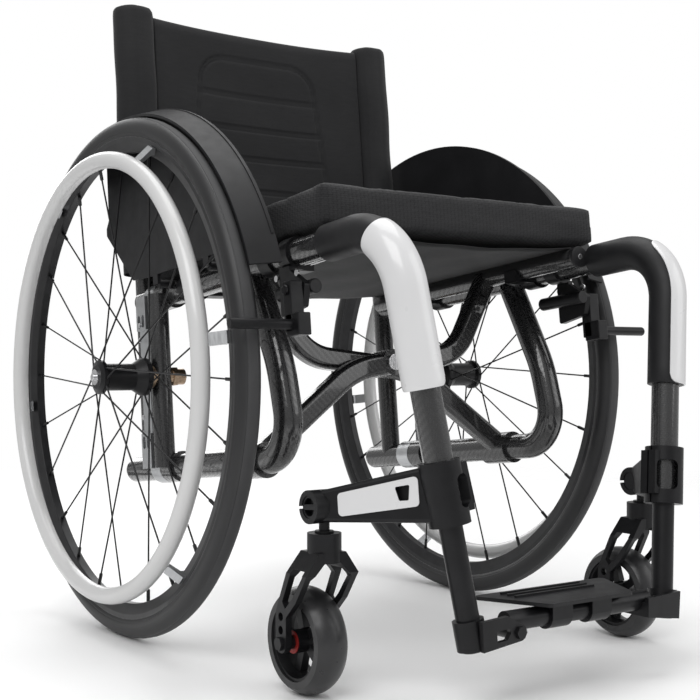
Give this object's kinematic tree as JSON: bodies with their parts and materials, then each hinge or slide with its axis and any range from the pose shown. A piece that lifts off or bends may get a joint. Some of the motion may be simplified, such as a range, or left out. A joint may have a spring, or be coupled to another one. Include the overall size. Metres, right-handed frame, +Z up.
{
  "type": "folding self-propelled wheelchair",
  "caption": "Lightweight folding wheelchair with a carbon cross brace, spoked rear wheels with white handrims, open caster forks and a flip-up footplate.",
  "frame": {"origin": "On the floor, at the middle of the chair's outer box with the chair open.", "axes": "+Z is up, -Y is the way the chair faces, and -X is the user's right hand side."},
  "size_m": [0.5778, 0.7909, 0.7541],
  "materials": {
    "carbon_frame": "clear coated woven carbon fibre",
    "black_anodised": "satin black",
    "silver_aluminium": "satin machined",
    "silver_steel": "polished",
    "bronze_sleeve": "plain turned",
    "white_shell": "gloss white",
    "matte_black": "matt moulded",
    "black_tyre": "smooth rubber",
    "grey_rim": "satin grey",
    "white_handrim": "gloss white",
    "grey_caster_tyre": "smooth soft rubber",
    "black_fabric": "fine woven"
  },
  "bodies": {
    "right_side": {"right_upper_tube": "carbon_frame", "right_lower_tube": "carbon_frame", "right_back_cane": "carbon_frame", "right_axle_post": "carbon_frame", "right_axle_receiver": "bronze_sleeve", "right_axle_plate": "silver_aluminium", "right_leg_cover": "white_shell", "right_bend_shroud": "matte_black", "right_footrest_tube": "black_anodised", "right_caster_arm": "black_anodised", "right_arm_plate": "white_shell", "right_frame_clamps": "black_anodised", "right_side_guard": "matte_black", "right_footrest_bracket": "black_anodised", "right_back_sleeve": "black_fabric", "back_panel": "black_fabric"},
    "left_side": {"left_upper_tube": "carbon_frame", "left_lower_tube": "carbon_frame", "left_back_cane": "carbon_frame", "left_axle_post": "carbon_frame", "left_axle_receiver": "bronze_sleeve", "left_axle_plate": "silver_aluminium", "left_leg_cover": "white_shell", "left_bend_shroud": "matte_black", "left_footrest_tube": "black_anodised", "left_caster_arm": "black_anodised", "left_arm_plate": "white_shell", "left_frame_clamps": "black_anodised", "left_side_guard": "matte_black", "left_footrest_bracket": "black_anodised", "left_back_sleeve": "black_fabric"},
    "front_arm": {"front_cross_arm": "carbon_frame", "cross_pivot": "silver_steel", "seat_sling": "black_fabric", "seat_cushion": "black_fabric"},
    "rear_arm": {"rear_cross_arm": "carbon_frame"},
    "footrest": {"footrest_crossbar": "black_anodised", "footplate": "matte_black"},
    "right_wheel": {"right_rear_tyre": "black_tyre", "right_rim": "grey_rim", "right_handrim": "white_handrim", "right_handrim_tabs": "silver_aluminium", "right_hub": "black_anodised", "right_quick_axle": "silver_steel"},
    "right_button": {"right_axle_button": "silver_steel"},
    "right_fork": {"right_caster_fork": "black_anodised"},
    "right_caster": {"right_caster_tyre": "grey_caster_tyre", "right_caster_hub": "black_anodised"},
    "right_lock": {"right_lock_lever": "black_anodised"},
    "left_wheel": {"left_rear_tyre": "black_tyre", "left_rim": "grey_rim", "left_handrim": "white_handrim", "left_handrim_tabs": "silver_aluminium", "left_hub": "black_anodised", "left_quick_axle": "silver_steel"},
    "left_button": {"left_axle_button": "silver_steel"},
    "left_fork": {"left_caster_fork": "black_anodised"},
    "left_caster": {"left_caster_tyre": "grey_caster_tyre", "left_caster_hub": "black_anodised"},
    "left_lock": {"left_lock_lever": "black_anodised"}
  },
  "joints": [
    {"name": "fold", "type": "hinge", "parent": "right_side", "child": "front_arm", "pos_m": [-0.183, -0.07666, 0.20704], "axis": [0, -0.9945, 0.1045], "range_deg": [0, 30], "deforming": ["seat_sling", "seat_cushion", "back_panel"]},
    {"name": "cross_scissor", "type": "hinge", "parent": "front_arm", "child": "rear_arm", "pos_m": [0, -0.06583, 0.31017], "axis": [0, -0.9945, 0.1045], "range_deg": [-60, 0]},
    {"name": "left_side_hinge", "type": "hinge", "parent": "rear_arm", "child": "left_side", "pos_m": [0.183, -0.07666, 0.20704], "axis": [0, -0.9945, 0.1045], "range_deg": [0, 30]},
    {"name": "footrest_flip", "type": "hinge", "parent": "right_side", "child": "footrest", "pos_m": [-0.086, -0.3705, 0.069], "axis": [0, -1, 0], "range_deg": [0, 84]},
    {"name": "right_wheel_spin", "type": "hinge", "parent": "right_side", "child": "right_wheel", "pos_m": [-0.2484, 0.1005, 0.295], "axis": [1, 0, 0], "continuous": true},
    {"name": "right_axle_release", "type": "slide", "parent": "right_wheel", "child": "right_button", "axis": [1, 0, 0], "range_m": [0, 0.003], "stiffness_N_per_m": 300},
    {"name": "right_caster_swivel", "type": "hinge", "parent": "right_side", "child": "right_fork", "pos_m": [-0.2144, -0.2633, 0.165], "axis": [0, 0, 1], "continuous": true},
    {"name": "right_caster_spin", "type": "hinge", "parent": "right_fork", "child": "right_caster", "pos_m": [-0.2144, -0.2338, 0.0508], "axis": [1, 0, 0], "continuous": true},
    {"name": "right_wheel_lock", "type": "hinge", "parent": "right_side", "child": "right_lock", "pos_m": [-0.2048, -0.19399, 0.38226], "axis": [1, 0, 0], "range_deg": [0, 13]},
    {"name": "left_wheel_spin", "type": "hinge", "parent": "left_side", "child": "left_wheel", "pos_m": [0.2484, 0.1005, 0.295], "axis": [1, 0, 0], "continuous": true},
    {"name": "left_axle_release", "type": "slide", "parent": "left_wheel", "child": "left_button", "axis": [-1, 0, 0], "range_m": [0, 0.003], "stiffness_N_per_m": 300},
    {"name": "left_caster_swivel", "type": "hinge", "parent": "left_side", "child": "left_fork", "pos_m": [0.2144, -0.2633, 0.165], "axis": [0, 0, 1], "continuous": true},
    {"name": "left_caster_spin", "type": "hinge", "parent": "left_fork", "child": "left_caster", "pos_m": [0.2144, -0.2338, 0.0508], "axis": [1, 0, 0], "continuous": true},
    {"name": "left_wheel_lock", "type": "hinge", "parent": "left_side", "child": "left_lock", "pos_m": [0.2048, -0.19399, 0.38226], "axis": [1, 0, 0], "range_deg": [0, 13]}
  ],
  "couplings": [
    {"joint": "cross_scissor", "follows": "fold", "ratio": -2},
    {"joint": "left_side_hinge", "follows": "fold", "ratio": 1},
    {"joint": "footrest_flip", "follows": "fold", "ratio": 2.8}
  ]
}
